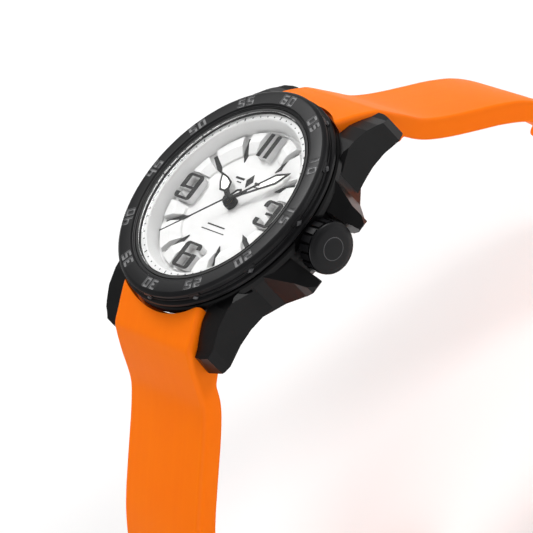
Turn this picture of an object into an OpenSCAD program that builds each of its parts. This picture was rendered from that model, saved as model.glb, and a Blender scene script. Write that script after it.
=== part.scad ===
// Dive watch on an open two-piece silicone strap.
// Origin: centre of the flat case back. +Z out of the dial, +Y to 12, +X to 3 (the crown).

/* [Case] */
// Bezel outer radius
bezel_r = 22.5; // [20:0.1:25]
// Height of the bezel's top face above the case back
bezel_top = 13.48; // [11:0.01:15]
// Strap width between the lugs
strap_w = 24; // [20:0.5:26]
// Y of the strap pins
pin_y = 25; // [24:0.1:27]
// Z of the strap pins
pin_z = 3.6; // [2:0.1:5]

/* [Crown] */
// Height of the crown axis
crown_z = 5.7; // [4:0.1:7]
// Crown radius
crown_r = 4.7; // [3.5:0.1:5.5]

/* [Strap] */
// Thickness of the strap
strap_t = 3.9; // [3:0.1:5]
// Pitch of the adjustment holes
hole_pitch = 6.5; // [5:0.5:9]
// Number of adjustment holes
hole_count = 8; // [5:1:9]

/* [Time shown] */
// Hour hand angle, clockwise from 12
hour_a = 304.3; // [0:0.1:360]
// Minute hand angle, clockwise from 12
minute_a = 51.6; // [0:0.1:360]
// Seconds hand angle, clockwise from 12
second_a = 226; // [0:0.1:360]

/* [Hidden] */
$fn = 96;
half_w = strap_w / 2;
// End of the buckle half: buckle pin centre, and the tilt of the last straight stretch
bk_y = 62.4;
bk_z = -60.25;
bk_a = -74.93;
// Outer face of each strap half, from the case outwards, as [y, z]
out12 = [[28.4,4.2],[30.1,1.2],[31.5,-1.3],[33,-4],[35,-6.4],[38,-9.3],[42,-12.8],[46,-16.3],
[49.8,-20.3],[52.5,-24.6],[54.8,-29.6],[57.2,-34.8],[58.9,-39.9],[60.02,-44.0],[61.6,-49.9],
[63.2,-55.8],[64.23,-59.6]];
out6 = [[-28.6,5.0],[-29.6,3.2],[-30.7,1],[-31.8,-1.4],[-33,-3.6],[-34.8,-5.6],[-37.5,-8.1],[-41,-11.1],
[-44.6,-14.2],[-48,-17.2],[-51.2,-20.4],[-54.4,-24.4],[-57.6,-29.6],[-60.2,-36],[-61.4,-43.5],
[-60.8,-51.5],[-57.9,-59],[-52.6,-65],[-46,-68.3],[-38.5,-69.4],[-31,-69.5],[-23,-69.5]];
function cr(a,b,c,d,t) = 0.5*((2*b)+(c-a)*t+(2*a-5*b+4*c-d)*t*t+(3*b-a-3*c+d)*t*t*t);
function at(p,i) = p[min(max(i,0),len(p)-1)];
function curve(p,n) = [for (i=[0:len(p)-2]) for (k=[0:n-1]) cr(at(p,i-1),at(p,i),at(p,i+1),at(p,i+2),k/n),
  p[len(p)-1]];
function unit(v) = v / norm(v);
function tang(c,i) = unit(at(c,i+1)-at(c,i-1));
function inner(c,s,t) = [for (i=[len(c)-1:-1:0]) c[i] + s*t*[tang(c,i)[1],-tang(c,i)[0]]];
c12 = curve(out12, 3);
c6 = curve(out6, 3);
function run(c,i) = i == 0 ? 0 : run(c,i-1) + norm(c[i]-c[i-1]);
function seg(c,s,i=0,acc=0) = acc + norm(c[i+1]-c[i]) >= s || i >= len(c)-2
  ? [i, (s-acc)/norm(c[i+1]-c[i])] : seg(c,s,i+1,acc+norm(c[i+1]-c[i]));
// Train positions
d_third = 3.6;
a_third = 60;
d_fifth = 3.4;
a_fifth = 190;
d_rotor = 2.0;
a_rotor = 250;
third_p = d_third*[cos(a_third),sin(a_third)];
fifth_p = d_fifth*[cos(a_fifth),sin(a_fifth)];
rotor_p = fifth_p + d_rotor*[cos(a_rotor),sin(a_rotor)];
minute_p = 2.8*[cos(300),sin(300)];

module ring(ro, ri, z0, z1) {
  translate([0,0,z0])
  linear_extrude(z1-z0)
  difference() {
    circle(ro);
    circle(ri);
  }
}

module disc(r, z0, z1) {
  translate([0,0,z0]) cylinder(r=r, h=z1-z0);
}

module xcyl(r, x0, x1) {
  translate([x0,0,0]) rotate([0,90,0]) cylinder(r=r, h=x1-x0);
}

module gear(n, r, z0, z1, bore, dep) {
  translate([0,0,z0])
  linear_extrude(z1-z0)
  difference() {
    polygon([for (i=[0:4*n-1]) (r-(i%4 < 2 ? 0 : dep))*[cos(90*i/n), sin(90*i/n)]]);
    circle(bore, $fn=48);
  }
}

module sector(r0, r1, a0, a1) {
  polygon(concat([for (k=[0:8]) r1*[sin(a0+(a1-a0)*k/8), cos(a0+(a1-a0)*k/8)]],
    [for (k=[8:-1:0]) r0*[sin(a0+(a1-a0)*k/8), cos(a0+(a1-a0)*k/8)]]));
}

// ---- case ----
module lug_side() {
  rotate([90,0,90])
  linear_extrude(30)
  polygon([[-10,10],[-15.2,9.75],[-18.8,9.35],[-21.9,8.4],[-24.2,7.0],[-26.0,5.7],[-27.4,5.0],[-27.7,0.8],
    [-26.4,0.75],[-24.4,1.4],[-21.4,2.4],[-18.1,2.8],[-15.4,2.6],[-10,2.0]]);
}

module lug_top() {
  translate([0,0,-1])
  linear_extrude(14)
  polygon([[half_w+0.3,-10],[half_w+0.3,-27.8],[15.9,-26.9],[17.0,-25.2],[17.4,-21.6],[17.9,-15.2],
    [18.4,-10]]);
}

module lug() {
  difference() {
    intersection() {
      lug_side();
      lug_top();
    }
    translate([17.2,-15.0,9.4]) rotate([-18,50,-8]) translate([0,-14,0]) cube([6,16,6]);
  }
}

module guard() {
  intersection() {
    translate([0,0,-1])
    linear_extrude(14)
    polygon([[13,-17],[15.1,-15.6],[17.3,-13.5],[19.9,-11.0],[24.1,-8.6],[26.2,-8.0],[27.4,-6.9],[27.2,-5.6],
      [23.4,-5.3],[13,-5.3]]);
    translate([0,-4,0]) rotate([90,0,0])
    linear_extrude(15)
    polygon([[13,9.9],[19.9,9.85],[23.8,6.3],[27.5,4.1],[26.4,3.2],[24.3,2.3],[19.6,1.7],[13,0.9]]);
    translate([19.9,-11.0,9.9]) rotate([0,0,30]) rotate([-8,0,0]) translate([-12,-20,-20]) cube([40,40,20]);
  }
}

module case_middle() {
  color("#15161a")
  difference() {
    union() {
      rotate_extrude()
      polygon([[16,0.9],[20.2,0.9],[21.2,2.4],[21.7,6.5],[22.1,8.2],[22.95,8.7],[22.95,9.7],[22.65,10],
        [19.3,10],[19.3,12.6],[16,12.6]]);
      difference() {
        union() {
          lug();
          mirror([1,0,0]) lug();
          mirror([0,1,0]) lug();
          mirror([1,0,0]) mirror([0,1,0]) lug();
          guard();
          mirror([0,1,0]) guard();
        }
        disc(19, -1, 14);
      }
    }
    disc(17, -1, 8.5);
    disc(17.95, 8.4, 12);
    disc(18.6, 11.9, 13);
    ring(18.25, 17.55, 0.5, 1.4);
    translate([0,0,crown_z]) xcyl(1.5, 10, 25);
    translate([0,0,crown_z]) xcyl(5.2, 22.3, 30);
    for (s=[-1,1]) translate([0,s*pin_y,pin_z]) xcyl(0.55, -15, 15);
  }
}

module case_back() {
  color("#8b8d90")
  difference() {
    union() {
      rotate_extrude()
      polygon([[0,0],[17.6,0],[19.0,0.35],[19.0,0.9],[0,0.9]]);
      ring(16.8, 15.6, 0.85, 1.6);
    }
    for (i=[0:5]) rotate([0,0,60*i]) translate([17.0,-1.1,-1]) cube([1.3,2.2,1.45]);
    ring(14.8, 14.5, -1, 0.12);
  }
}

module case_back_gasket() {
  color("#202020") ring(18.2, 17.6, 0.9, 1.38);
}

module studs() {
  for (i=[0:11]) rotate([0,0,30*i])
  translate([bezel_r-0.3,0,11.72]) rotate([90,0,90])
  linear_extrude(0.62)
  polygon([[0,0.62],[0.75,0],[0,-0.5],[-0.75,0]]);
}

module bezel() {
  color("#26272b")
  difference() {
    rotate_extrude()
    polygon([[18.75,12.75],[18.75,13.05],[18.98,13.05],[18.98,13.2],[19.2,13.2],[19.45,bezel_top],
      [21.75,bezel_top],[bezel_r,12.98],[bezel_r,11.85],[bezel_r-0.25,11.7],[bezel_r-0.25,11.4],
      [22.95,11.2],[22.95,10.6],[22.6,10.3],[19.38,10.3],[19.38,12.75]]);
    for (i=[0:11]) rotate([0,0,30*i+15])
    intersection() {
      ring(24, bezel_r-0.3, 12.0, 12.7);
      translate([0,-4.6,11]) cube([30,9.2,3]);
    }
    studs();
  }
}

module bezel_studs() {
  color("#3a3b3f") studs();
}

module click_spring() {
  color("#b0b2b5")
  difference() {
    ring(20.6, 19.5, 10.0, 10.18);
    for (a=[0,120,240]) rotate([0,0,a]) translate([19,-0.4,9]) cube([2,0.8,2]);
  }
}

module crystal() {
  color("#dfe8ee", 0.35)
  rotate_extrude()
  polygon([[0,11.9],[18.1,11.9],[18.1,12.95],[17.95,13.1],[0,13.1]]);
}

module crystal_gasket() {
  color("#1c1c1c") ring(18.58, 18.12, 11.9, 13.05);
}

module chapter_ring() {
  color("#f4f4f2")
  rotate_extrude()
  polygon([[15.95,8.9],[17.9,8.9],[17.9,11.7],[16.95,11.7],[16.75,11.55],[16.45,10.5],[16.1,9.4],[15.95,9.1]]);
}

module minute_marks() {
  color("#101010")
  for (i=[0:59]) rotate([0,0,-6*i])
  if (i % 5 == 0) translate([-0.08,16.98,11.7]) cube([0.16,0.62,0.03]);
  else translate([0,17.25,11.7]) cylinder(r=0.11, h=0.03, $fn=24);
}

module dial() {
  color("#f7f7f5") ring(17.9, 1.0, 8.4, 8.9);
}

module dial_sectors() {
  color("#f7f7f5")
  difference() {
    rotate_extrude()
    polygon([[10.9,8.9],[15.6,8.9],[15.2,9.75],[13.1,9.95],[11.1,9.2]]);
    for (i=[0:11]) rotate([0,0,-30*i])
    translate([0,0,8])
    linear_extrude(3)
    polygon(i % 3 == 0 ? [[-3.3,10],[3.3,10],[3.3,15.3],[-3.3,15.3]] : [[-0.55,10],[0.55,10],[1.0,16],[-1.0,16]]);
  }
}

module hour_batons() {
  color("#141414")
  for (i=[0:11])
  if (i % 3 != 0) rotate([0,0,-30*i])
  translate([0,0,8.9])
  linear_extrude(0.2)
  polygon([[0,9.5],[0.52,11.2],[0.34,14.9],[-0.34,14.9],[-0.52,11.2]]);
}

module n2d(k) {
  if (k == 0) {
    translate([-1.62,9.75]) square([1.12,5.0]);
    translate([0.5,9.75]) square([1.12,5.0]);
  }
  if (k == 1) translate([12.1,0]) three2d();
  if (k == 2) translate([0,-12.3]) six2d();
  if (k == 3) translate([-12.3,0]) rotate(180) six2d();
}

module loop2d(w, h, r, tv, th) {
  difference() {
    union() {
      translate([-w/2+r,-h/2]) square([w-2*r,h]);
      translate([-w/2,-h/2+r]) square([w,h-2*r]);
      for (x=[-1,1]) for (y=[-1,1]) translate([x*(w/2-r),y*(h/2-r)]) circle(r);
    }
    translate([-w/2+tv,-h/2+th]) square([w-2*tv,h-2*th]);
  }
}

module six2d() {
  difference() {
    union() {
      loop2d(4.9, 5.4, 0.9, 1.25, 0.5);
      translate([-1.3,-0.1]) square([3.0,0.5]);
    }
    translate([1.1,0.5]) square([2,0.95]);
  }
}

module three2d() {
  difference() {
    union() {
      loop2d(4.9, 5.4, 0.9, 1.25, 0.5);
      translate([-0.6,-0.25]) square([2.4,0.5]);
    }
    translate([-3,-1.2]) square([1.9,2.4]);
  }
}

module numeral_blocks() {
  color("#f7f7f5")
  translate([0,0,8.9])
  linear_extrude(1.25)
  for (k=[0:3]) n2d(k);
}

module numeral_faces() {
  color("#141414")
  translate([0,0,10.15])
  linear_extrude(0.05)
  for (k=[0:3]) n2d(k);
}

module spring_bar(s) {
  translate([0,s*pin_y,pin_z])
  union() {
    xcyl(0.9, -half_w+0.6, half_w-0.6);
    xcyl(0.5, -half_w-2.0, half_w+2.0);
  }
}

module spring_bar_12() {
  color("#b9bbbe") spring_bar(1);
}

module spring_bar_6() {
  color("#b9bbbe") spring_bar(-1);
}

// ---- crown ----
module crown_tube() {
  color("#a5a7aa")
  translate([0,0,crown_z])
  difference() {
    xcyl(1.5, 17.1, 24.2);
    xcyl(0.95, 17, 25);
  }
}

module crown() {
  color("#18191c")
  translate([0,0,crown_z])
  difference() {
    union() {
      xcyl(crown_r-0.45, 23.2, 26.0);
      for (i=[0:17]) rotate([20*i,0,0]) translate([23.3,-0.55,crown_r-0.9]) cube([2.5,1.1,0.9]);
    }
    difference() {
      xcyl(2.7, 23, 24.9);
      xcyl(0.86, 22, 25);
    }
    xcyl(0.45, 23, 24.6);
  }
}

module crown_cap() {
  color("#202124")
  translate([26.0,0,crown_z]) rotate([0,90,0])
  rotate_extrude()
  polygon([[0,0],[crown_r-0.55,0],[crown_r-0.6,0.18],[3.6,0.3],[3.45,0.5],[2.6,0.68],[1.3,0.8],[0,0.83]]);
}

module crown_gasket() {
  color("#101010")
  translate([0,0,crown_z])
  difference() {
    xcyl(2.7, 24.4, 24.9);
    xcyl(1.7, 24, 25);
  }
}

module stem() {
  color("#b4b6b9")
  translate([0,0,crown_z])
  union() {
    xcyl(0.45, 6.2, 24.6);
    xcyl(0.8, 12.6, 13.2);
  }
}

module sliding_pinion() {
  color("#b4b6b9")
  translate([7.2,0,crown_z]) rotate([0,90,0])
  gear(14, 1.15, 0, 1.9, 0.53, 0.2);
}

// ---- movement ----
module movement_ring() {
  color("#e4e4e0")
  difference() {
    ring(16.9, 11.9, 1.7, 8.3);
    translate([10,-1.5,4.0]) cube([8,3,3.4]);
    for (a=[45,165,285]) rotate([0,0,a]) translate([12.4,-0.9,1]) cube([2.4,1.8,3]);
  }
}

module main_plate() {
  color("#c9b27a")
  difference() {
    union() {
      disc(11.7, 5.8, 6.6);
      translate([minute_p[0],minute_p[1],6.6]) cylinder(r=0.2, h=1.2);
    }
    disc(0.57, 5, 7);
    translate([5.5,-1.5,4]) cube([8,3,3]);
    translate([third_p[0],third_p[1],5]) cylinder(r=0.16, h=0.9);
    translate([fifth_p[0],fifth_p[1],5]) cylinder(r=0.16, h=0.9);
    translate([rotor_p[0],rotor_p[1],5]) cylinder(r=0.16, h=0.9);
  }
}

module train_bridge() {
  color("#b7b9bc")
  difference() {
    intersection() {
      disc(11.5, 2.6, 3.1);
      translate([-8.6,-6.2,0]) cube([14.5,15,6]);
    }
    translate([4.3,-6.2,2]) cylinder(r=4.3, h=3);
    translate([0,0,2]) cylinder(r=0.19, h=3);
    for (p=[third_p,fifth_p,rotor_p]) translate([p[0],p[1],2.5]) cylinder(r=0.18, h=1);
    for (p=[[-6.5,6.5],[4.6,7.4],[-7.4,-4.8]]) translate([p[0],p[1],2]) cylinder(r=0.36, h=3);
  }
}

module movement_screws() {
  color("#9fa1a4")
  for (p=[[-6.5,6.5],[4.6,7.4],[-7.4,-4.8]]) translate([p[0],p[1],0])
  difference() {
    union() {
      disc(0.34, 2.6, 5.8);
      disc(0.75, 2.2, 2.6);
    }
    translate([-1,-0.1,2]) cube([2,0.2,0.35]);
  }
}

module circuit_board() {
  color("#1f6b3b")
  difference() {
    intersection() {
      disc(11.5, 4.9, 5.3);
      translate([-11,-11.4,0]) cube([13,4.0,9]);
    }
    translate([-6.5,-9.5,4]) cylinder(r=0.5, h=3);
  }
}

module coil() {
  color("#b06a2c")
  translate([-9.3,-5.0,4.0]) rotate([-90,0,0])
  union() {
    cylinder(r=0.95, h=9.8);
    translate([0,0,0.2]) cylinder(r=1.15, h=0.5);
    translate([0,0,9.1]) cylinder(r=1.15, h=0.5);
  }
}

module stator() {
  color("#9a9ca0")
  translate([0,0,5.32])
  linear_extrude(0.46)
  difference() {
    union() {
      translate([-10.1,-5.2]) square([1.6,10.2]);
      translate([-10.1,-5.2]) square([8.2,4.6]);
    }
    circle(3.5);
    translate([rotor_p[0],rotor_p[1]]) circle(1.15);
    translate([fifth_p[0],fifth_p[1]]) circle(0.5);
    translate([-7.4,-4.8]) circle(0.36, $fn=32);
  }
}

module quartz_can() {
  color("#c9cbcd")
  translate([-6.4,-8.9,4.1]) rotate([0,90,0])
  cylinder(r=0.75, h=4.6);
}

module battery() {
  color("#c8cacc")
  translate([4.3,-6.2,2.3])
  union() {
    cylinder(r=4.0, h=1.9);
    translate([0,0,1.9]) cylinder(r=3.5, h=0.25);
  }
}

module battery_clip() {
  color("#d5b65e")
  union() {
    translate([3.3,-10.2,2.0]) cube([2.0,9.0,0.3]);
    translate([4.3,-6.2,2.0]) cylinder(r=1.5, h=0.3);
  }
}

module setting_lever() {
  color("#aeb0b3")
  translate([0,0,4.0])
  linear_extrude(0.35)
  polygon([[6.4,2.2],[8.6,1.5],[10.8,1.5],[11.2,2.4],[9.8,4.6],[7.0,4.0]]);
}

// ---- going train, all turning about lines parallel to Z ----
module rotor() {
  color("#55575b")
  translate([rotor_p[0],rotor_p[1],0])
  union() {
    disc(0.14, 3.12, 5.88);
    disc(1.0, 5.35, 5.7);
    gear(8, 0.39, 4.1, 4.9, 0.1, 0.12);
  }
}

module fifth_wheel() {
  color("#d9b45a")
  translate([fifth_p[0],fifth_p[1],0])
  union() {
    disc(0.14, 3.12, 5.88);
    gear(32, 1.59, 4.4, 4.7, 0.1, 0.14);
    gear(8, 0.39, 3.3, 4.0, 0.1, 0.12);
  }
}

module fourth_wheel() {
  color("#d9b45a")
  union() {
    disc(0.17, 2.7, 10.95);
    gear(60, 2.99, 3.5, 3.8, 0.1, 0.14);
    gear(8, 0.39, 3.95, 4.35, 0.1, 0.12);
  }
}

module third_wheel() {
  color("#d9b45a")
  translate([third_p[0],third_p[1],0])
  union() {
    disc(0.14, 3.12, 5.88);
    gear(64, 3.19, 4.02, 4.26, 0.1, 0.14);
    gear(8, 0.41, 4.8, 5.5, 0.1, 0.12);
  }
}

module centre_wheel() {
  color("#d9b45a")
  difference() {
    union() {
      disc(0.5, 4.6, 10.6);
      gear(60, 3.16, 5.0, 5.26, 0.3, 0.14);
      gear(10, 0.69, 6.75, 7.2, 0.3, 0.18);
    }
    disc(0.25, 4, 11);
  }
}

module minute_wheel() {
  color("#d9b45a")
  translate([minute_p[0],minute_p[1],0])
  difference() {
    union() {
      gear(30, 2.09, 6.85, 7.1, 0.25, 0.2);
      gear(8, 0.55, 7.1, 7.75, 0.25, 0.18);
    }
    disc(0.25, 6.5, 7.9);
  }
}

module hour_wheel() {
  color("#d9b45a")
  difference() {
    union() {
      gear(32, 2.23, 7.45, 7.75, 0.56, 0.2);
      disc(0.85, 7.6, 10.12);
    }
    disc(0.56, 7, 11);
  }
}

// ---- hands, drawn pointing to 12 and turned to the time shown ----
module hour_hand() {
  color("#151515")
  rotate([0,0,-hour_a])
  translate([0,0,9.9])
  linear_extrude(0.16)
  difference() {
    union() {
      circle(1.25);
      polygon([[-0.55,0],[-0.55,3.2],[-1.35,4.4],[-0.95,6.4],[0,8.5],[0.95,6.4],[1.35,4.4],[0.55,3.2],[0.55,0]]);
    }
    circle(0.85);
    polygon([[-0.35,3.6],[-0.95,4.5],[-0.65,6.2],[0,7.6],[0.65,6.2],[0.95,4.5],[0.35,3.6]]);
  }
}

module hour_lume() {
  color("#fafaf5")
  rotate([0,0,-hour_a])
  translate([0,0,9.9])
  linear_extrude(0.1)
  polygon([[-0.35,3.6],[-0.95,4.5],[-0.65,6.2],[0,7.6],[0.65,6.2],[0.95,4.5],[0.35,3.6]]);
}

module minute_hand() {
  color("#151515")
  rotate([0,0,-minute_a])
  translate([0,0,10.4])
  linear_extrude(0.16)
  difference() {
    union() {
      circle(1.05);
      polygon([[-0.5,0],[-0.45,3.2],[-1.15,10.6],[0,13.7],[1.15,10.6],[0.45,3.2],[0.5,0]]);
    }
    circle(0.5);
    polygon([[-0.2,4.2],[-0.75,10.4],[0,12.6],[0.75,10.4],[0.2,4.2]]);
  }
}

module minute_lume() {
  color("#fafaf5")
  rotate([0,0,-minute_a])
  translate([0,0,10.4])
  linear_extrude(0.1)
  polygon([[-0.45,7.0],[-0.75,10.4],[0,12.6],[0.75,10.4],[0.45,7.0]]);
}

module seconds_hand() {
  color("#101010")
  rotate([0,0,-second_a])
  union() {
    translate([0,0,10.8])
    linear_extrude(0.14)
    difference() {
      union() {
        circle(0.8);
        polygon([[-0.16,0],[-0.07,14.5],[0.07,14.5],[0.16,0]]);
        polygon([[-0.2,0],[-0.75,-2.4],[-0.3,-3.4],[0.3,-3.4],[0.75,-2.4],[0.2,0]]);
      }
      polygon([[0,-1.0],[-0.4,-2.4],[-0.15,-2.95],[0.15,-2.95],[0.4,-2.4]]);
      circle(0.17);
    }
    disc(0.55, 10.94, 11.15);
  }
}

// ---- strap ----
module strap_body(c, s, head) {
  rotate([90,0,90]) translate([0,0,-half_w])
  linear_extrude(strap_w)
  union() {
    polygon(concat(c, inner(c, s, strap_t)));
    polygon(head);
  }
}

module strap_12() {
  color("#ff6a00")
  difference() {
    union() {
      strap_body(c12, 1, [[23.6,2.1],[21.4,4.4],[19,6.4],[19,11.3],[20.2,11.2],[21.8,10.1],[23.6,8.7],
        [25.6,7.0],[27.2,5.5],[28.4,4.2],[28.6,1.0],[27.9,-2.2],[26.6,-2.9],[25.2,-1.2],
        [24.2,0.4]]);
      translate([0,bk_y,bk_z]) rotate([bk_a,0,0]) xcyl(strap_t/2+0.4, -half_w, half_w);
    }
    disc(23.5, 7.4, 15);
    disc(22.45, -2, 9);
    translate([0,pin_y,pin_z]) xcyl(0.95, -14, 14);
    translate([0,bk_y,bk_z]) xcyl(0.8, -14, 14);
    translate([0,bk_y,bk_z]) rotate([bk_a,0,0]) translate([-1.7,-5.2,-4]) cube([3.4,9,8]);
  }
}

module strap_6() {
  color("#ff6a00")
  difference() {
    intersection() {
      strap_body(c6, -1, [[-23.6,2.1],[-21.4,4.4],[-19,6.4],[-19,10.6],[-20.6,10.6],[-22.6,9.6],
        [-25.2,8.0],[-27.4,6.7],[-28.6,5.0],[-28.6,1.6],[-28.2,-1.8],[-26.7,-1.6],
        [-25.2,-0.2],[-24.2,1.0]]);
      union() {
        translate([-20,-80,-62]) cube([40,80,90]);
        translate([-20,-80,-80]) cube([40,45.5,90]);
        translate([0,-34.5,-80]) cylinder(r=half_w, h=30);
      }
    }
    disc(23.5, 7.4, 15);
    disc(22.45, -2, 9);
    translate([0,-pin_y,pin_z]) xcyl(0.95, -14, 14);
    for (k=[0:hole_count-1]) hole_6(52 + hole_pitch*k);
  }
}

module hole_6(s) {
  g = seg(c6, s);
  p = c6[g[0]] + g[1]*(c6[g[0]+1]-c6[g[0]]);
  t = tang(c6, g[0]);
  a = atan2(t[1], t[0]);
  translate([0,p[0],p[1]]) rotate([a,0,0])
  translate([0,0,-6])
  union() {
    translate([-0.8,0,0]) cylinder(r=1.25, h=12);
    translate([0.8,0,0]) cylinder(r=1.25, h=12);
    translate([-0.8,-1.25,0]) cube([1.6,2.5,12]);
  }
}

module keeper(y0) {
  translate([0,bk_y,bk_z]) rotate([bk_a,0,0]) translate([0,y0,0])
  rotate([-90,0,0])
  linear_extrude(3.6)
  difference() {
    translate([0,-2.4]) loop2d(2*half_w+2.9, 11.8, 1.2, 1.2, 1.2);
  }
}

module keeper_fixed() {
  color("#f06000") keeper(-10.2);
}

module keeper_free() {
  color("#f06000") keeper(-17.6);
}

module buckle_bar() {
  color("#b9bbbe")
  translate([0,bk_y,bk_z])
  xcyl(0.72, -half_w-2.6, half_w+2.6);
}

module buckle_frame() {
  color("#15161a")
  translate([0,bk_y,bk_z]) rotate([bk_a,0,0])
  difference() {
    union() {
      translate([0,0,-1.2])
      linear_extrude(2.4)
      difference() {
        translate([-half_w-3.2,-2.2]) square([strap_w+6.4,12.6]);
        translate([-half_w-0.35,-3]) square([strap_w+0.7,10.6]);
      }
    }
    xcyl(0.77, -half_w-2.8, half_w+2.8);
    translate([-1.25,6,0.2]) cube([2.5,6,2]);
  }
}

module buckle_tongue() {
  color("#15161a")
  translate([0,bk_y,bk_z]) rotate([bk_a,0,0])
  difference() {
    union() {
      xcyl(1.5, -1.1, 1.1);
      translate([-1.1,0.2,0.25]) cube([2.2,9.9,1.1]);
    }
    xcyl(0.77, -3, 3);
  }
}

case_middle();
case_back();
case_back_gasket();
bezel();
bezel_studs();
click_spring();
crystal();
crystal_gasket();
chapter_ring();
minute_marks();
dial();
dial_sectors();
hour_batons();
numeral_blocks();
numeral_faces();
spring_bar_12();
spring_bar_6();
crown_tube();
crown();
crown_cap();
crown_gasket();
stem();
sliding_pinion();
movement_ring();
main_plate();
train_bridge();
circuit_board();
coil();
stator();
quartz_can();
battery();
battery_clip();
setting_lever();
movement_screws();
rotor();
fifth_wheel();
fourth_wheel();
third_wheel();
centre_wheel();
minute_wheel();
hour_wheel();
hour_hand();
hour_lume();
minute_hand();
minute_lume();
seconds_hand();
strap_12();
strap_6();
keeper_fixed();
keeper_free();
buckle_bar();
buckle_frame();
buckle_tongue();
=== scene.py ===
import bpy, bmesh
from mathutils import Vector, Matrix
from math import sin, cos, pi, radians, atan2


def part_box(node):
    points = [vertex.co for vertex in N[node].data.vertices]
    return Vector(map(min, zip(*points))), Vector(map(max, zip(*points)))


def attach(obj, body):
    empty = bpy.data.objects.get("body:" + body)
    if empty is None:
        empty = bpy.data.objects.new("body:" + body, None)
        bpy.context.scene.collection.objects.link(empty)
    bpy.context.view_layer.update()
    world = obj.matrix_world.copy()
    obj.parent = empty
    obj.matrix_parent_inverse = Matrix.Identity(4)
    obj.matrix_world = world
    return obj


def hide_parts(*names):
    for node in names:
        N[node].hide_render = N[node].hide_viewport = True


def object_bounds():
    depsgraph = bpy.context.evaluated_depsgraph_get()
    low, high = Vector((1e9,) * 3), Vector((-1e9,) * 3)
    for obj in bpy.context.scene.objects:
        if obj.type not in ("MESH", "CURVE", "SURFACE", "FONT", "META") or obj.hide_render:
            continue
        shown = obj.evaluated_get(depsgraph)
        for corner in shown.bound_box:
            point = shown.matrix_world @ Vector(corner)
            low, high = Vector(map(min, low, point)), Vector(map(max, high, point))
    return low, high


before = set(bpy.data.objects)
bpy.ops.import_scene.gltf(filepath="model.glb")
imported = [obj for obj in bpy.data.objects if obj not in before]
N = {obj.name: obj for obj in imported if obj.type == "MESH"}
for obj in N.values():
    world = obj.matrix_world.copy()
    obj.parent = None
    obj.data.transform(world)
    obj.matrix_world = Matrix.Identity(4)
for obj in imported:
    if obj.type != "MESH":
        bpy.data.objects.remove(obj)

CAD_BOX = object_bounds()
MM = 0.001
scene = bpy.context.scene


# ---------------------------------------------------------------- camera
cam_data = bpy.data.cameras.new("camera")
cam_data.lens = 313.6
cam_data.sensor_width = 36.0
cam_data.clip_start = 0.05
cam_data.clip_end = 20
cam = bpy.data.objects.new("camera", cam_data)
scene.collection.objects.link(cam)
right = Vector((0.571035, 0.586244, -0.574662))
down = Vector((0.21147, -0.78144, -0.587054))
fwd = Vector((-0.793221, 0.213705, -0.570203))
place = Matrix((right, -down, -fwd)).transposed().to_4x4()
place.translation = Vector((0.654397, -0.179794, 0.466006))
cam.matrix_world = place
scene.camera = cam


# ---------------------------------------------------------------- material helpers
def new_mat(name):
    mat = bpy.data.materials.new(name)
    mat.use_nodes = True
    nt = mat.node_tree
    return mat, nt, nt.nodes["Principled BSDF"]


def node(nt, kind, **values):
    """A new node with the named inputs set."""
    n = nt.nodes.new(kind)
    for key, value in values.items():
        n.inputs[key].default_value = value
    return n


def noise(nt, scale, detail=4.0, rough=0.55, stretch=None):
    """Noise in the object's own coordinates, stretched along its axes if asked."""
    out = node(nt, "ShaderNodeTexCoord").outputs["Object"]
    if stretch:
        mp = node(nt, "ShaderNodeMapping")
        mp.inputs["Scale"].default_value = stretch
        nt.links.new(out, mp.inputs["Vector"])
        out = mp.outputs["Vector"]
    t = node(nt, "ShaderNodeTexNoise", Scale=scale, Detail=detail, Roughness=rough)
    nt.links.new(out, t.inputs["Vector"])
    return t.outputs["Fac"]


def ramp(nt, fac, stops):
    """A colour ramp from (position, colour) stops."""
    r = node(nt, "ShaderNodeValToRGB")
    els = r.color_ramp.elements
    while len(els) < len(stops):
        els.new(0.5)
    for e, (p, c) in zip(els, stops):
        e.position = p
        e.color = (*c, 1)
    nt.links.new(fac, r.inputs["Fac"])
    return r.outputs["Color"]


def bump(nt, bsdf, height, strength, distance, after=None):
    b = node(nt, "ShaderNodeBump", Strength=strength, Distance=distance)
    nt.links.new(height, b.inputs["Height"])
    if after is not None:
        nt.links.new(after, b.inputs["Normal"])
    nt.links.new(b.outputs["Normal"], bsdf.inputs["Normal"])
    return b.outputs["Normal"]


def roughness(nt, bsdf, value, low, high):
    """Lets a value move the roughness between two limits."""
    rr = node(nt, "ShaderNodeMapRange")
    rr.inputs["To Min"].default_value = low
    rr.inputs["To Max"].default_value = high
    nt.links.new(value, rr.inputs["Value"])
    nt.links.new(rr.outputs["Result"], bsdf.inputs["Roughness"])


def coated(name, col_a, col_b, rough, spread, grain, spec=0.5, bump_d=0.00001, bump_s=0.3, coat=0.0):
    """A fine-grained coating: colour and roughness vary softly, with a fine orange-peel bump."""
    mat, nt, b = new_mat(name)
    big = noise(nt, 180.0, 3.0)
    nt.links.new(ramp(nt, big, [(0.3, col_a), (0.72, col_b)]), b.inputs["Base Color"])
    fine = noise(nt, grain, 5.0, 0.6)
    roughness(nt, b, fine, rough - spread, rough + spread)
    bump(nt, b, fine, bump_s, bump_d)
    b.inputs["Specular IOR Level"].default_value = spec
    b.inputs["Coat Weight"].default_value = coat
    b.inputs["Coat Roughness"].default_value = 0.2
    return mat


def brushed(name, col_a, col_b, rough, stretch=(1, 40, 40), scale=400.0):
    """Bare metal with fine lines along one axis."""
    mat, nt, b = new_mat(name)
    f = noise(nt, scale, 4.0, 0.6, stretch=stretch)
    nt.links.new(ramp(nt, f, [(0.25, col_a), (0.75, col_b)]), b.inputs["Base Color"])
    roughness(nt, b, f, rough - 0.07, rough + 0.1)
    bump(nt, b, f, 0.25, 0.00001)
    b.inputs["Metallic"].default_value = 1.0
    return mat


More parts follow.
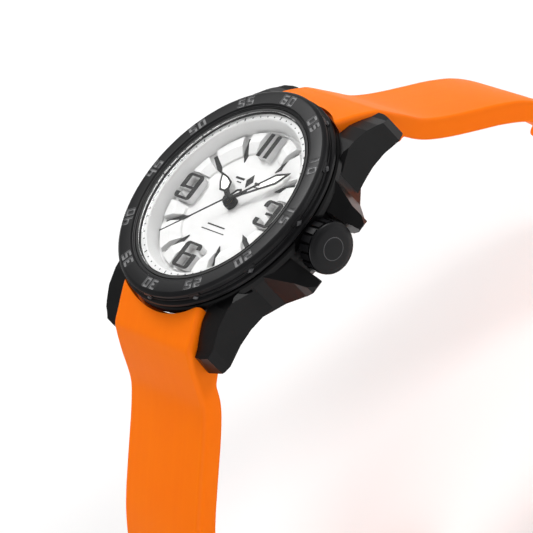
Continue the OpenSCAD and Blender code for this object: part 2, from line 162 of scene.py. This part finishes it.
M = {}
M["case"] = coated("black_case", (0.002, 0.002, 0.0022), (0.004, 0.004, 0.0045), 0.3, 0.05, 6000.0,
                   spec=0.2)
M["bezel"] = coated("bezel_black", (0.004, 0.004, 0.0045), (0.008, 0.008, 0.009), 0.42, 0.07,
                    9000.0, spec=0.2, bump_d=0.000012, bump_s=0.5)
M["crown"] = coated("crown_black", (0.003, 0.003, 0.0035), (0.006, 0.006, 0.007), 0.36, 0.06,
                    9000.0, spec=0.22, bump_d=0.00001, bump_s=0.4)
M["buckle"] = coated("buckle_black", (0.008, 0.008, 0.009), (0.018, 0.018, 0.02), 0.36, 0.06,
                     7000.0, spec=0.55, coat=0.2)
M["steel"] = brushed("brushed_steel", (0.42, 0.43, 0.44), (0.66, 0.67, 0.68), 0.3)
M["polished"] = brushed("polished_steel", (0.6, 0.61, 0.62), (0.75, 0.76, 0.77), 0.14, stretch=(1,
                        1, 30))
M["brass"] = brushed("gilt_brass", (0.62, 0.44, 0.16), (0.83, 0.63, 0.28), 0.28, stretch=(20, 1, 20))
M["dial"] = coated("dial_white", (0.50, 0.50, 0.497), (0.54, 0.54, 0.537), 0.6, 0.05, 12000.0,
                   spec=0.12, bump_d=0.000004, bump_s=0.3)
M["block"] = coated("block_white", (0.51, 0.51, 0.507), (0.55, 0.55, 0.547), 0.55, 0.05, 12000.0,
                    spec=0.12, bump_d=0.000003, bump_s=0.2)
M["print"] = coated("print_black", (0.003, 0.003, 0.003), (0.006, 0.006, 0.006), 0.5, 0.06,
                    12000.0, spec=0.08, bump_d=0.000003, bump_s=0.2)
M["lume"] = coated("lume", (0.82, 0.83, 0.78), (0.88, 0.88, 0.84), 0.7, 0.08, 9000.0, spec=0.25,
                   bump_d=0.00001, bump_s=0.6)
M["gasket"] = coated("gasket_rubber", (0.008, 0.008, 0.008), (0.016, 0.016, 0.016), 0.6, 0.08,
                     5000.0, spec=0.4)
M["holder"] = coated("holder_plastic", (0.60, 0.60, 0.56), (0.68, 0.68, 0.64), 0.5, 0.06, 6000.0)
M["board"] = coated("board_green", (0.012, 0.10, 0.035), (0.02, 0.16, 0.05), 0.35, 0.08, 5000.0,
                    coat=0.3)
M["copper"] = brushed("coil_copper", (0.40, 0.13, 0.04), (0.72, 0.30, 0.12), 0.32, stretch=(1, 60,
                      1), scale=900.0)
M["battery"] = brushed("battery_steel", (0.55, 0.56, 0.57), (0.74, 0.75, 0.76), 0.2, stretch=(1, 1,
                       1), scale=2500.0)


def silicone():
    """Matte moulded silicone: soft mottling, faint lines along the strap, a fine moulded grain."""
    mat, nt, b = new_mat("silicone_orange")
    tc = node(nt, "ShaderNodeTexCoord")
    sep = node(nt, "ShaderNodeSeparateXYZ")
    nt.links.new(tc.outputs["Object"], sep.inputs["Vector"])
    comb = node(nt, "ShaderNodeCombineXYZ")
    nt.links.new(sep.outputs["X"], comb.inputs["X"])
    lines = node(nt, "ShaderNodeTexNoise", Scale=520.0, Detail=3.0, Roughness=0.6)
    nt.links.new(comb.outputs["Vector"], lines.inputs["Vector"])
    mott = noise(nt, 90.0, 4.0)
    mix = node(nt, "ShaderNodeMix")
    mix.inputs["Factor"].default_value = 0.45
    nt.links.new(mott, mix.inputs[2])
    nt.links.new(lines.outputs["Fac"], mix.inputs[3])
    tone = ramp(nt, mix.outputs[0], [(0.3, (0.96, 0.168, 0.0)), (0.7, (1.0, 0.19, 0.0))])
    nt.links.new(tone, b.inputs["Base Color"])
    fine = noise(nt, 7000.0, 4.0, 0.65)
    roughness(nt, b, fine, 0.5, 0.64)
    n1 = bump(nt, b, lines.outputs["Fac"], 0.22, 0.00006)
    bump(nt, b, fine, 0.25, 0.00001, after=n1)
    b.inputs["Specular IOR Level"].default_value = 0.12
    b.inputs["Subsurface Weight"].default_value = 0.12
    b.inputs["Subsurface Radius"].default_value = (0.0015, 0.0006, 0.0002)
    b.inputs["Subsurface Scale"].default_value = 1.0
    return mat


M["silicone"] = silicone()
# Painted highlight: the engraving's walls and floor are a lighter glossy grey that stands in for the bright
# edges of the dark cut numerals.
M["engraving_highlight"] = coated("engraving_painted_highlight", (0.17, 0.17, 0.173), (0.26, 0.26, 0.265), 0.3, 0.08,
                       8000.0, spec=0.6)
M["stud"] = coated("stud_grey", (0.03, 0.03, 0.032), (0.06, 0.06, 0.064), 0.35, 0.06, 8000.0, spec=0.6)


def glass():
    mat, nt, b = new_mat("crystal_glass")
    f = noise(nt, 60.0, 2.0)
    roughness(nt, b, f, 0.0, 0.015)
    b.inputs["Base Color"].default_value = (1, 1, 1, 1)
    b.inputs["Transmission Weight"].default_value = 1.0
    b.inputs["IOR"].default_value = 1.5
    b.inputs["Specular IOR Level"].default_value = 0.18
    return mat


M["glass"] = glass()

# The material of each CAD node.
FINISH = {
    "case_middle": "case", "case_back": "steel", "case_back_gasket": "gasket", "bezel": "bezel",
    "bezel_studs": "bezel", "click_spring": "steel", "crystal": "glass", "crystal_gasket": "gasket",
    "chapter_ring": "dial", "minute_marks": "print", "dial": "dial", "dial_sectors": "block",
    "hour_batons": "print", "numeral_blocks": "block", "numeral_faces": "print",
    "spring_bar_12": "polished", "spring_bar_6": "polished",
    "crown_tube": "steel", "crown": "crown", "crown_cap": "crown",
    "crown_gasket": "gasket", "stem": "polished", "sliding_pinion": "steel", "movement_ring": "holder",
    "main_plate": "brass", "train_bridge": "steel", "circuit_board": "board", "coil": "copper",
    "stator": "steel", "quartz_can": "polished", "battery": "battery", "battery_clip": "brass",
    "setting_lever": "steel", "movement_screws": "polished", "rotor": "steel", "fifth_wheel": "brass",
    "fourth_wheel": "brass", "third_wheel": "brass", "centre_wheel": "brass", "minute_wheel": "brass",
    "hour_wheel": "brass", "hour_hand": "print", "hour_lume": "lume", "minute_hand": "print",
    "minute_lume": "lume", "seconds_hand": "print", "strap_12": "silicone", "strap_6": "silicone",
    "keeper_fixed": "silicone", "keeper_free": "silicone", "buckle_bar": "polished",
    "buckle_frame": "buckle", "buckle_tongue": "buckle",
}
for name, key in FINISH.items():
    ob = N[name]
    ob.data.materials.clear()
    ob.data.materials.append(M[key])

# The crystal would hold the lamps' light off the dial.
N["crystal"].visible_shadow = False


def bevel(ob, width, segments=2, angle=28):
    """Rounds the edges sharper than an angle in degrees; the width is in metres."""
    b = ob.modifiers.new("bevel", "BEVEL")
    b.width = width
    b.segments = segments
    b.limit_method = "ANGLE"
    b.angle_limit = radians(angle)
    b.harden_normals = True


# ---------------------------------------------------------------- mesh helpers
def shade(me, angle):
    """Smooth shading, sharp at edges over an angle in degrees."""
    me.polygons.foreach_set("use_smooth", [True] * len(me.polygons))
    me.set_sharp_from_angle(angle=radians(angle))


def link(me, name, mats, body, smooth=None):
    """Puts a mesh in the scene with its materials, riding on a body."""
    ob = bpy.data.objects.new(name, me)
    scene.collection.objects.link(ob)
    for k in (mats if isinstance(mats, list) else [mats]):
        me.materials.append(M[k])
    if smooth is not None:
        shade(me, smooth)
    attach(ob, body)
    return ob


def lathe(profile, seg, axis="Z"):
    """A closed ring from a closed (r, z) profile in mm; axis X puts r in the YZ plane and z along X."""
    bm = bmesh.new()
    rings = []
    for i in range(seg):
        a = 2 * pi * i / seg
        row = []
        for r, z in profile:
            p = (r * cos(a), r * sin(a), z) if axis == "Z" else (z, r * cos(a), r * sin(a))
            row.append(bm.verts.new(Vector(p) * MM))
        rings.append(row)
    n = len(profile)
    for i in range(seg):
        a, b = rings[i], rings[(i + 1) % seg]
        for j in range(n):
            k = (j + 1) % n
            if profile[j][0] == 0 and profile[k][0] == 0:
                continue
            bm.faces.new((a[j], b[j], b[k], a[k]))
    bmesh.ops.remove_doubles(bm, verts=bm.verts, dist=1e-7)
    bmesh.ops.recalc_face_normals(bm, faces=bm.faces)
    return bm


def to_mesh(bm, name):
    me = bpy.data.meshes.new(name)
    bm.to_mesh(me)
    bm.free()
    return me


def grid_shape(cells, xs, ys, rad, seg=4):
    """A flat bmesh of filled grid cells; each free outer corner is rounded. Coordinates in mm."""
    bm = bmesh.new()
    vs = {}
    have = set(cells)

    def v(a, b):
        if (a, b) not in vs:
            vs[(a, b)] = bm.verts.new((xs[a], ys[b], 0))
        return vs[(a, b)]

    for i, j in cells:
        loop = []
        for a, b, sx, sy in ((i, j, 1, 1), (i + 1, j, -1, 1), (i + 1, j + 1, -1, -1), (i, j + 1, 1, -1)):
            near = {(a - 1, b - 1), (a, b - 1), (a - 1, b), (a, b)} - {(i, j)}
            if near & have or rad <= 0:
                loop.append(v(a, b))
                continue
            r = min(rad, 0.48 * (xs[i + 1] - xs[i]), 0.48 * (ys[j + 1] - ys[j]))
            cx, cy = xs[a] + sx * r, ys[b] + sy * r
            a0 = {(1, 1): pi, (-1, 1): 1.5 * pi, (-1, -1): 0.0, (1, -1): 0.5 * pi}[(sx, sy)]
            for k in range(seg + 1):
                t = a0 + 0.5 * pi * k / seg
                loop.append(bm.verts.new((cx + r * cos(t), cy + r * sin(t), 0)))
        bm.faces.new(loop)
    return bm


def thicken(bm, z0, z1):
    """Extrudes a flat bmesh into a closed solid from z0 to z1."""
    for p in bm.verts:
        p.co.z = z0
    ret = bmesh.ops.extrude_face_region(bm, geom=list(bm.faces))
    for g in ret["geom"]:
        if isinstance(g, bmesh.types.BMVert):
            g.co.z = z1
    bmesh.ops.recalc_face_normals(bm, faces=bm.faces)
    return bm


# The filled cells (column, row) of each digit, on a grid of 3 by 5.
DIGITS = {
    "0": [(0, 0), (1, 0), (2, 0), (0, 1), (2, 1), (0, 2), (2, 2), (0, 3), (2, 3), (0, 4), (1, 4), (2, 4)],
    "1": [(1, 0), (1, 1), (1, 2), (1, 3), (1, 4), (0, 4)],
    "2": [(0, 4), (1, 4), (2, 4), (2, 3), (0, 2), (1, 2), (2, 2), (0, 1), (0, 0), (1, 0), (2, 0)],
    "3": [(0, 4), (1, 4), (2, 4), (2, 3), (1, 2), (2, 2), (2, 1), (0, 0), (1, 0), (2, 0)],
    "4": [(0, 4), (0, 3), (0, 2), (1, 2), (2, 2), (2, 4), (2, 3), (2, 1), (2, 0)],
    "5": [(0, 4), (1, 4), (2, 4), (0, 3), (0, 2), (1, 2), (2, 2), (2, 1), (0, 0), (1, 0), (2, 0)],
    "6": [(0, 4), (1, 4), (2, 4), (0, 3), (0, 2), (1, 2), (2, 2), (0, 1), (2, 1), (0, 0), (1, 0), (2, 0)],
}


def digit(ch, w, h, sv, sh, rad):
    """A flat digit w by h, with upright strokes sv wide and level ones sh wide."""
    xs = [0, sv, w - sv, w]
    mid = (h - sh) / 2
    ys = [0, sh, mid, mid + sh, h - sh, h]
    if ch == "1":
        xs = [0.1 * w, 0.5 * w - sv / 2, 0.5 * w + sv / 2, w]
    return grid_shape(DIGITS[ch], xs, ys, rad)


def moved(bm, m4):
    """The same bmesh, transformed."""
    bm.transform(m4)
    return bm


def metres(bm):
    """The same bmesh, from mm to metres."""
    return moved(bm, Matrix.Scale(MM, 4))


def joined(parts):
    """One bmesh from several, which are freed."""
    out = bmesh.new()
    tmp = bpy.data.meshes.new("tmp")
    for p in parts:
        p.to_mesh(tmp)
        p.free()
        out.from_mesh(tmp)
    bpy.data.meshes.remove(tmp)
    return out


def block(size, centre):
    """A box, in mm."""
    bm = bmesh.new()
    bmesh.ops.create_cube(bm, size=1)
    for v in bm.verts:
        v.co = Vector([c + s * p for c, s, p in zip(centre, size, v.co)])
    return bm


def around(count, build):
    """Copies of a piece spaced evenly about the case's axis, joined and in metres."""
    turns = [Matrix.Rotation(radians(360 / count * k), 4, "Z") for k in range(count)]
    return joined([metres(moved(build(), turn)) for turn in turns])


def apply_all(ob):
    """Turns an object's modifiers into its mesh."""
    dg = bpy.context.evaluated_depsgraph_get()
    new = bpy.data.meshes.new_from_object(ob.evaluated_get(dg), preserve_all_data_layers=True, depsgraph=dg)
    ob.modifiers.clear()
    old = ob.data
    ob.data = new
    bpy.data.meshes.remove(old)


def boolean(ob, other, mat, operation="DIFFERENCE"):
    """Cuts a bmesh out of an object, or joins it on; the new faces take the material."""
    me = to_mesh(other, "cutter")
    me.materials.append(M[mat])
    c = bpy.data.objects.new("cutter", me)
    scene.collection.objects.link(c)
    md = ob.modifiers.new("cut", "BOOLEAN")
    md.operation = operation
    md.object = c
    md.solver = "EXACT"
    md.material_mode = "TRANSFER"
    apply_all(ob)
    bpy.data.objects.remove(c)


# ---------------------------------------------------------------- bezel
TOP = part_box("bezel")[1][2] / MM


def make_bezel():
    """The turned ring with its cut numerals, the blocks in its band, and the studs."""
    prof = [(18.75, 12.75), (18.75, 13.02), (18.8, 13.07), (18.93, 13.07), (18.98, 13.1), (18.98, 13.17),
            (19.03, 13.22), (19.14, 13.22), (19.2, 13.25), (19.36, TOP - 0.06), (19.44, TOP), (21.72, TOP),
            (21.86, TOP - 0.04), (22.42, 13.06), (22.5, 12.94), (22.5, 12.78), (22.3, 12.7), (22.3, 12.06),
            (22.5, 11.98), (22.5, 11.84), (22.44, 11.78), (22.28, 11.7), (22.26, 11.62),
            (22.26, 11.46), (22.3, 11.4), (22.88, 11.22), (22.95, 11.14), (22.95, 10.68), (22.9, 10.6),
            (22.62, 10.34), (22.55, 10.3),
            (19.38, 10.3), (19.38, 12.75)]
    ob = link(to_mesh(lathe(prof, 240), "bezel_ring"), "bezel_ring", ["bezel", "engraving_highlight"], "bezel")
    parts = []
    w, h, gap = 1.62, 2.05, 0.42
    upright, level, corner = 0.5, 0.46, 0.22
    depth, circle = 0.2, 20.62
    for k in range(1, 13):
        text = "%02d" % (5 * k)
        a = radians(90 - 30 * k)
        for i, ch in enumerate(text):
            d = thicken(digit(ch, w, h, upright, level, corner), TOP - depth, TOP + 0.3)
            x0 = -(2 * w + gap) / 2 + i * (w + gap)
            moved(d, Matrix.Rotation(a - pi / 2, 4, "Z") @ Matrix.Translation((x0, circle - h / 2, 0)))
            parts.append(metres(d))
    # The cut faces take the lighter grey, a painted highlight on the numerals' edges.
    boolean(ob, joined(parts), "engraving_highlight")
    shade(ob.data, 32)
    bevel(ob, 0.00007, 2, 40)
    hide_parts("bezel")

    # The band's blocks lie between its recesses.
    grips = around(12, lambda: block((0.34, 2.3, 0.66), (22.32, 0, 12.38)))
    bl = link(to_mesh(grips, "bezel_grips"), "bezel_grips", "bezel", "bezel")
    bevel(bl, 0.00006, 2)

    def diamond():
        """A four-sided stud, tapered to a low point."""
        d = bmesh.new()
        pts = [(0, 0.66), (0.78, 0), (0, -0.56), (-0.78, 0)]
        base = [d.verts.new((22.2, y, 11.72 + z)) for y, z in pts]
        rim = [d.verts.new((22.62, y * 0.8, 11.72 + z * 0.8)) for y, z in pts]
        tip = d.verts.new((22.8, 0, 11.74))
        d.faces.new(base)
        for i in range(4):
            j = (i + 1) % 4
            d.faces.new((base[i], base[j], rim[j], rim[i]))
            d.faces.new((rim[i], rim[j], tip))
        bmesh.ops.recalc_face_normals(d, faces=d.faces)
        return d

    st = link(to_mesh(around(12, diamond), "bezel_diamonds"), "bezel_diamonds", "stud", "bezel")
    bevel(st, 0.00004, 2)
    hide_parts("bezel_studs")


make_bezel()


# ---------------------------------------------------------------- strap
HALF = (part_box("strap_12")[1][0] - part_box("strap_12")[0][0]) / 2 / MM
THICK = 3.9
EDGE_OUT, EDGE_IN = 1.15, 0.6
PIN_Y, PIN_Z, PIN_R = 25, 3.6, 0.95
BUCKLE_PIN, BUCKLE_PIN_R, BUCKLE_TILT = (0, 62.4, -60.25), 0.8, -74.93
# The outer face of each half as (y, z) from the case outwards, and its head as (inner, outer) pairs.
OUT12 = [(28.4, 4.2), (30.1, 1.2), (31.5, -1.3), (33, -4), (35, -6.4), (38, -9.3), (42, -12.8), (46, -16.3),
         (49.8, -20.3), (52.5, -24.6), (54.8, -29.6), (57.2, -34.8), (58.9, -39.9), (60.02, -44.0),
         (61.6, -49.9), (63.2, -55.8), (64.23, -59.6)]
OUT6 = [(-28.6, 5.0), (-29.6, 3.2), (-30.7, 1), (-31.8, -1.4), (-33, -3.6), (-34.8, -5.6), (-37.5, -8.1),
        (-41, -11.1), (-44.6, -14.2), (-48, -17.2), (-51.2, -20.4), (-54.4, -24.4), (-57.6, -29.6),
        (-60.2, -36), (-61.4, -43.5), (-60.8, -51.5), (-57.9, -59), (-52.6, -65), (-46, -68.3),
        (-38.5, -69.4), (-31, -69.5), (-23, -69.5)]
HEAD12 = [((19.2, 6.4), (19.2, 11.2)), ((20.3, 5.3), (20.3, 11.1)), ((21.8, 3.9), (21.8, 10.05)),
          ((23.4, 2.0), (23.7, 8.6)), ((24.4, 0.2), (25.6, 7.0)), ((25.0, -0.9), (27.2, 5.5)),
          ((25.7, -2.0), (28.4, 4.2)), ((26.7, -2.85), (30.1, 1.2))]
HEAD6 = [((-19.2, 6.4), (-19.2, 10.5)), ((-20.6, 5.2), (-20.6, 10.5)), ((-22.4, 3.3), (-22.6, 9.5)),
         ((-23.8, 1.6), (-25.2, 8.0)), ((-24.4, 0.7), (-27.4, 6.7)), ((-25.2, -0.5), (-28.6, 5.0)),
         ((-26.2, -1.4), (-29.6, 3.2)), ((-27.3, -2.2), (-30.7, 1.0))]


def spline(p, n):
    """A smooth curve through the points, with n steps between each two."""
    out = []
    at = lambda i: p[min(max(i, 0), len(p) - 1)]
    for i in range(len(p) - 1):
        a, b, c, d = (Vector(at(i + k)) for k in (-1, 0, 1, 2))
        for k in range(n):
            t = k / n
            out.append(0.5 * (2 * b + (c - a) * t + (2 * a - 5 * b + 4 * c - d) * t * t
                              + (3 * b - a - 3 * c + d) * t ** 3))
    out.append(Vector(p[-1]))
    return out


def ribs(head, path, side, skip):
    """Pairs (inner, outer) from the case outwards: the moulded head, then an even thickness."""
    outer = spline(path, 8)
    body = []
    for i in range(skip * 8, len(outer)):
        t = (outer[min(i + 1, len(outer) - 1)] - outer[max(i - 1, 0)]).normalized()
        body.append((outer[i] + side * THICK * Vector((t.y, -t.x)), outer[i]))
    a = spline([h[0] for h in head] + [body[0][0], body[8][0]], 6)[:-6]
    b = spline([h[1] for h in head] + [body[0][1], body[8][1]], 6)[:-6]
    return list(zip(a, b)) + body[1:]


def strap_half(name, pairs, tip):
    """Lofts a rounded section through the pairs; tip rounds off the free end."""
    length = [0.0]
    for k in range(1, len(pairs)):
        length.append(length[-1] + (pairs[k][1] - pairs[k - 1][1]).length)
    if tip:
        keep = [k for k in range(len(pairs)) if length[-1] - length[k] > 0.02]
        pairs, length = [pairs[k] for k in keep], [length[k] for k in keep] + [length[-1]]
    bm = bmesh.new()
    rows = []
    for k, (a, b) in enumerate(pairs):
        w = HALF
        left = length[-1] - length[k]
        if tip and left < HALF:
            w = max(0.6, (HALF ** 2 - (HALF - left) ** 2) ** 0.5)
        n = (b - a)
        th = n.length
        n.normalize()
        ro, ri = min(EDGE_OUT, th * 0.4, w * 0.5), min(EDGE_IN, th * 0.25, w * 0.4)
        sec = []
        corners = ((w - ro, th - ro, ro, 0), (-w + ro, th - ro, ro, 90),
                   (-w + ri, ri, ri, 180), (w - ri, ri, ri, 270))
        for cx, cy, r, a0 in corners:
            for q in range(7):
                t = radians(a0 + 15 * q)
                sec.append((cx + r * cos(t), cy + r * sin(t)))
        rows.append([bm.verts.new(Vector((x, a.x + n.x * y, a.y + n.y * y)) * MM) for x, y in sec])
    m = len(rows[0])
    for r0, r1 in zip(rows, rows[1:]):
        for i in range(m):
            j = (i + 1) % m
            bm.faces.new((r0[i], r0[j], r1[j], r1[i]))
    bm.faces.new(rows[0])
    bm.faces.new(rows[-1][::-1])
    bmesh.ops.recalc_face_normals(bm, faces=bm.faces)
    return link(to_mesh(bm, name), name, "silicone", name.replace("_moulded", ""))


def drum(r, length, centre, turn, seg=64):
    """A cylinder used as a cutter or a knuckle."""
    bm = bmesh.new()
    bmesh.ops.create_cone(bm, cap_ends=True, segments=seg, radius1=r, radius2=r, depth=length)
    return metres(moved(bm, Matrix.Translation(centre) @ turn))


def slots(path, start, pitch, count):
    """Cutters for the adjustment holes, each square to the strap."""
    outer = spline(path, 8)
    run, out = 0.0, []
    want = [start + pitch * k for k in range(count)]
    for a, b in zip(outer, outer[1:]):
        step = (b - a).length
        while want and run + step >= want[0]:
            p = a + (b - a) * ((want[0] - run) / step)
            t = (b - a).normalized()
            want.pop(0)
            turn = Matrix.Rotation(atan2(t.y, t.x), 4, "X")
            arc = [(cos(radians(q)), sin(radians(q))) for q in range(-90, 91, 15)]
            prof = [(0.8 + 1.25 * c, 1.25 * v) for c, v in arc]
            prof += [(-0.8 - 1.25 * c, -1.25 * v) for c, v in arc]
            bm = bmesh.new()
            bm.faces.new([bm.verts.new((x, y, 0)) for x, y in prof])
            thicken(bm, -6, 6)
            out.append(metres(moved(bm, Matrix.Translation((0, p.x, p.y)) @ turn)))
        run += step
    return out


def finish_strap(ob, cad, cutters):
    """Cuts the holes and hands the piece over in place of its CAD node."""
    for c in cutters:
        boolean(ob, c, "silicone")
    shade(ob.data, 38)
    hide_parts(cad)


def make_straps():
    up, along = Matrix.Identity(4), Matrix.Rotation(pi / 2, 4, "Y")

    def head(side):
        """Clearance for the case and the bezel, and the spring bar's hole."""
        return [drum(23.5, 10, (0, 0, 12.4), up, 160), drum(22.45, 12, (0, 0, 3.0), up, 160),
                drum(PIN_R, 28, (0, side * PIN_Y, PIN_Z), along)]

    a = strap_half("strap_12_moulded", ribs(HEAD12, OUT12, 1, 2), False)
    boolean(a, drum(THICK / 2 + 0.4, 2 * HALF, BUCKLE_PIN, along), "silicone", "UNION")
    tongue_gap = block((3.4, 9, 8), (0, -0.7, 0))
    moved(tongue_gap, Matrix.Translation(BUCKLE_PIN) @ Matrix.Rotation(radians(BUCKLE_TILT), 4, "X"))
    finish_strap(a, "strap_12", head(1) + [drum(BUCKLE_PIN_R, 28, BUCKLE_PIN, along), metres(tongue_gap)])
    b = strap_half("strap_6_moulded", ribs(HEAD6, OUT6, -1, 3), True)
    finish_strap(b, "strap_6", head(-1) + slots(OUT6, 52, 6.5, 8))


make_straps()


# ---------------------------------------------------------------- hub, crown and dial trim
def collar(name, r0, r1, z0, z1, body):
    """A hand's turned boss, with a small edge at the top."""
    e = 0.05
    prof = [(r0, z0), (r1, z0), (r1, z1 - e), (r1 - e, z1), (r0, z1)]
    link(to_mesh(lathe(prof, 64), name), name, "print", body, 30)


collar("hour_collar", 0.87, 1.25, 9.0, 9.9, "hours")
collar("minute_collar", 0.52, 0.84, 10.13, 10.39, "minutes")

CROWN_Z = 5.7


def on_crown(name, profile, seg, mat, smooth):
    """A turned piece about the crown's axis, from an (r, x) profile."""
    bm = moved(lathe(profile, seg, "X"), Matrix.Translation((0, 0, CROWN_Z * MM)))
    return link(to_mesh(bm, name), name, mat, "crown", smooth)


dome = [(0, 26.0), (4.5, 26.0), (4.62, 26.06), (4.64, 26.14), (4.56, 26.26), (4.3, 26.36), (4.0, 26.42),
        (3.9, 26.5), (3.2, 26.63), (2.2, 26.74), (1.1, 26.8), (0, 26.82)]
crown_dome = on_crown("crown_dome", dome, 128, "crown", 40)
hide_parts("crown_cap")
on_crown("crown_ring", [(1.95, 26.7), (1.97, 26.78), (2.1, 26.77), (2.12, 26.68)], 96, "stud", 30)

PRINT_THICK = 0.03
DIAL_TOP = 8.9


def flat(pts, z):
    """A printed shape a few hundredths of a millimetre thick."""
    bm = bmesh.new()
    bm.faces.new([bm.verts.new((x, y, 0)) for x, y in pts])
    return thicken(bm, z, z + PRINT_THICK)


def printed(name, shapes):
    link(to_mesh(joined([metres(flat(pts, DIAL_TOP)) for pts in shapes]), name), name, "print", "case")


def bar(x0, x1, y0, y1):
    return [(x0, y0), (x1, y0), (x1, y1), (x0, y1)]


printed("dial_emblem", [[(0, 3.7), (1.0, 5.2), (0, 6.7), (-1.0, 5.2)], bar(-4.2, -1.6, 4.95, 5.4),
                        bar(1.6, 4.2, 4.95, 5.4), bar(-3.2, -1.9, 4.3, 4.55), bar(1.9, 3.2, 4.3, 4.55)])
printed("dial_rules", [bar(-2.6, 2.6, -5.0, -4.72), bar(-3.4, 3.4, -6.1, -5.9)])

# The minute track: a dot for each minute and a bar for each fifth.
TRACK_Z, TRACK_R, DOT_R = 11.7, 17.25, 0.16
marks = []
for i in range(60):
    if i % 5:
        pts = [(DOT_R * cos(radians(30 * q)), TRACK_R + DOT_R * sin(radians(30 * q))) for q in range(12)]
    else:
        pts = bar(-0.12, 0.12, 16.98, 17.62)
    marks.append(metres(moved(flat(pts, TRACK_Z), Matrix.Rotation(radians(-6 * i), 4, "Z"))))
mk = link(to_mesh(joined(marks), "minute_track"), "minute_track", "print", "case")
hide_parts("minute_marks")

# Small rounded edges on the carried-over CAD nodes, in metres.
for nm, w in (("case_middle", 0.00016), ("crown", 0.00012), ("dial_sectors", 0.00008),
              ("numeral_blocks", 0.00005), ("buckle_frame", 0.0003), ("buckle_tongue", 0.0002),
              ("keeper_fixed", 0.0004), ("keeper_free", 0.0004), ("case_back", 0.00008),
              ("chapter_ring", 0.00005)):
    bevel(N[nm], w, 3 if w > 0.0001 else 2)


# ---------------------------------------------------------------- light and floor
FLOOR_GAP = 0.0002

floor_mat, _, floor_bsdf = new_mat("floor_white")
floor_bsdf.inputs["Base Color"].default_value = (0.93, 0.93, 0.93, 1)
floor_bsdf.inputs["Roughness"].default_value = 0.9
floor_bsdf.inputs["Specular IOR Level"].default_value = 0.1
bpy.ops.mesh.primitive_plane_add(size=6, location=(0, 0, CAD_BOX[0][2] - FLOOR_GAP))
floor = bpy.context.object
floor.name = "floor"
floor.data.materials.append(floor_mat)


def area(name, loc, target, size, power):
    """A square lamp aimed at a point."""
    d = bpy.data.lights.new(name, "AREA")
    d.energy = power
    d.size = size
    o = bpy.data.objects.new(name, d)
    o.location = loc
    o.rotation_mode = "QUATERNION"
    o.rotation_quaternion = (Vector(target) - Vector(loc)).to_track_quat("-Z", "Y")
    scene.collection.objects.link(o)


area("key", (-0.42, 0.3, 0.68), (0, 0, 0), 0.3, 5.4)
area("fill", (0.35, -0.75, 0.3), (0, 0, -0.02), 0.45, 3.4)
area("rim", (0.5, 0.55, 0.35), (0, 0, 0), 0.16, 2.2)

world = bpy.data.worlds.new("world")
scene.world = world
world.use_nodes = True
bg = world.node_tree.nodes["Background"]
bg.inputs["Color"].default_value = (1, 1, 1, 1)
bg.inputs["Strength"].default_value = 0.3
scene.view_settings.view_transform = "Standard"
